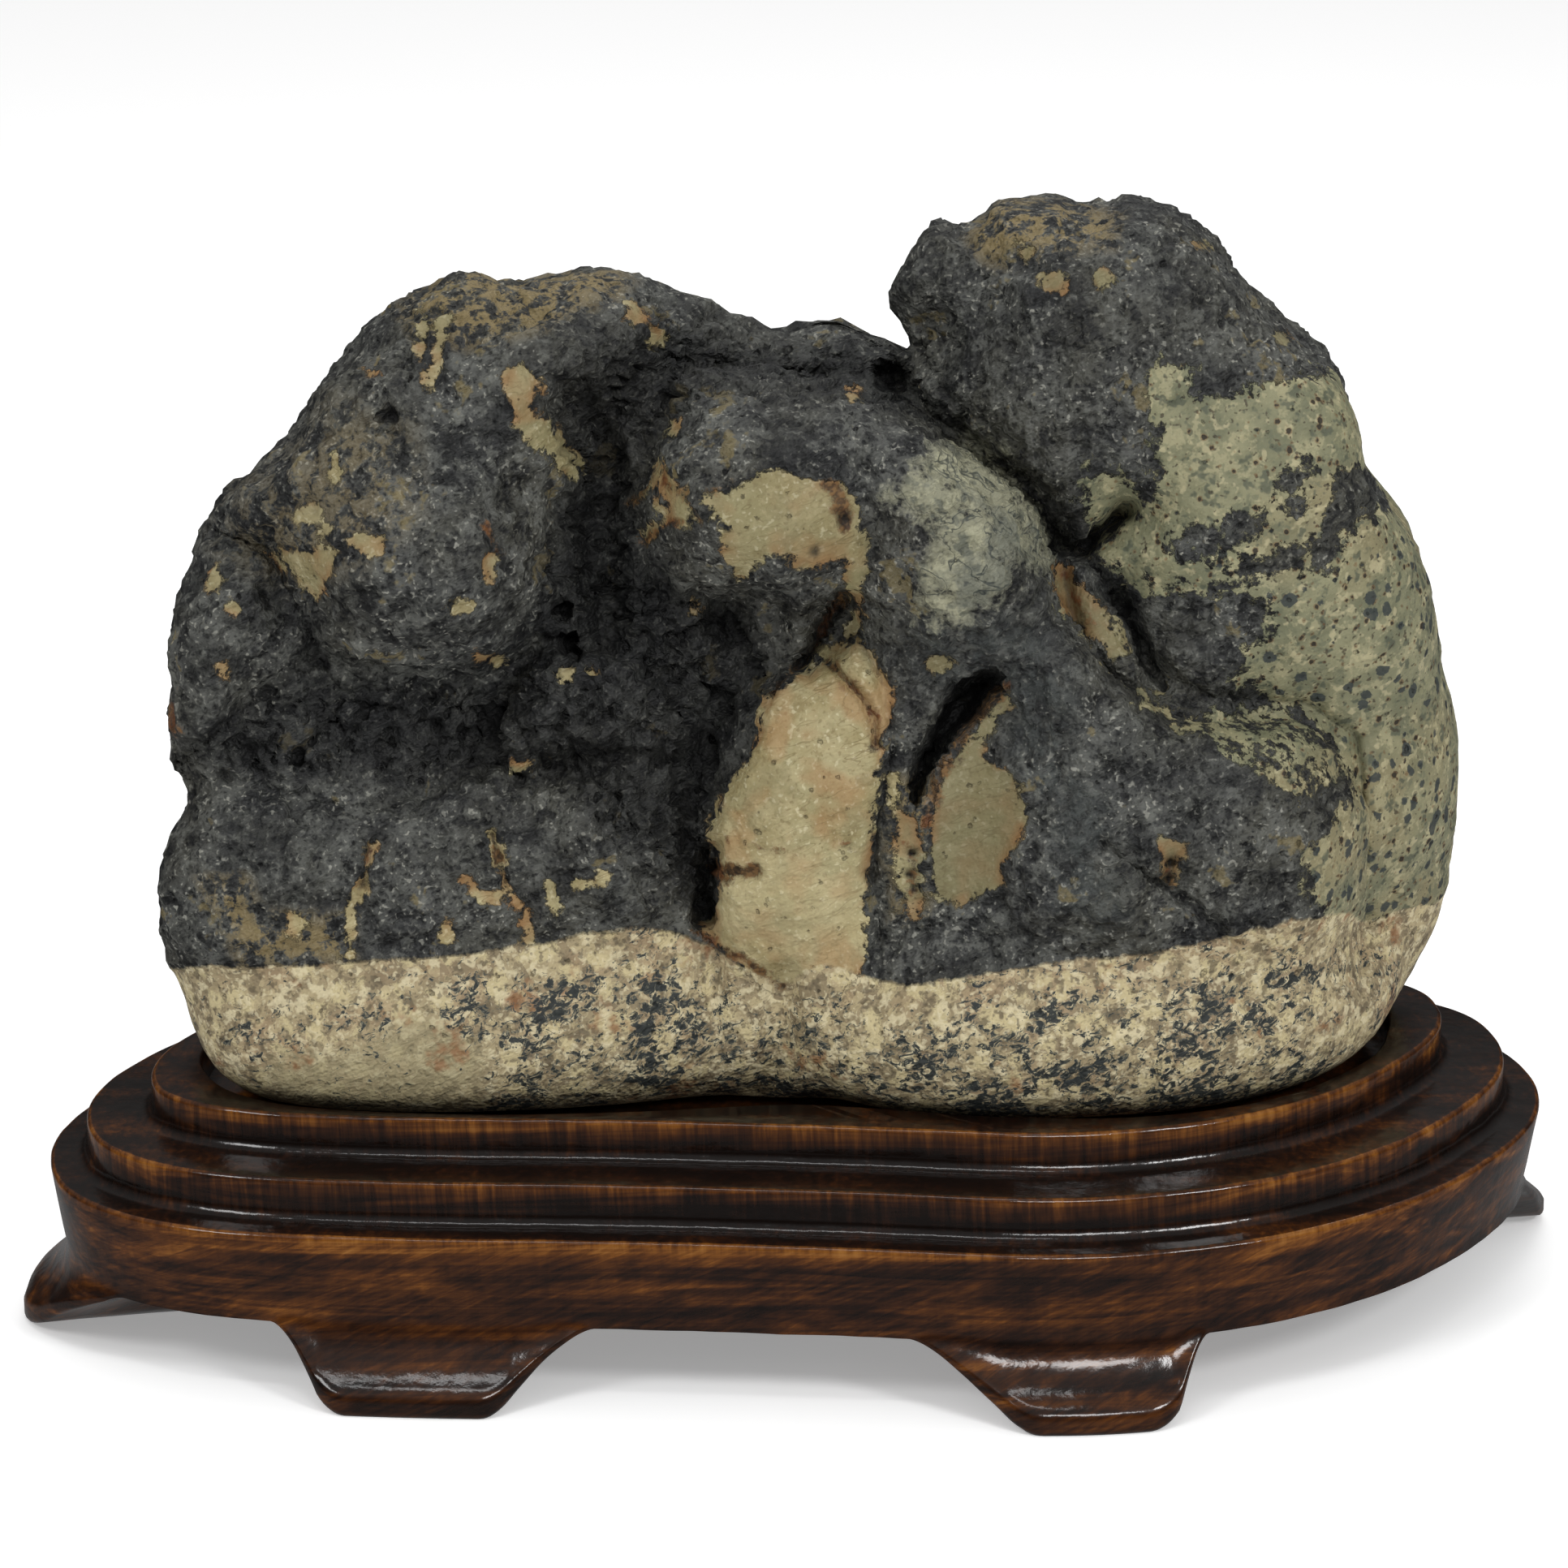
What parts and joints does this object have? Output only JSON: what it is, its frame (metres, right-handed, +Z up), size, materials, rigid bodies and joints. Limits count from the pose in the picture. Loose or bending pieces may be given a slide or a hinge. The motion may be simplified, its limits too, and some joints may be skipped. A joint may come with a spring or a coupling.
{
  "type": "scholars rock on a wooden stand",
  "caption": "Weathered scholars rock, dark rock with folds, hollows and a raised peak over a speckled granite base, seated in a stepped, footed stand of lacquered wood.",
  "frame": {"origin": "on the surface that the feet stand on, under the middle of the stand", "axes": "+Z up, +X along the long side, -Y towards the side that is meant to be looked at"},
  "size_m": [0.2478, 0.125, 0.1737],
  "materials": {
    "stone": "matt weathered dark rock with buff patches over pale speckled granite",
    "stand_wood": "dark brown gloss lacquer over figured wood"
  },
  "bodies": {
    "root": {"stone": "stone", "stand": "stand_wood"}
  },
  "joints": []
}
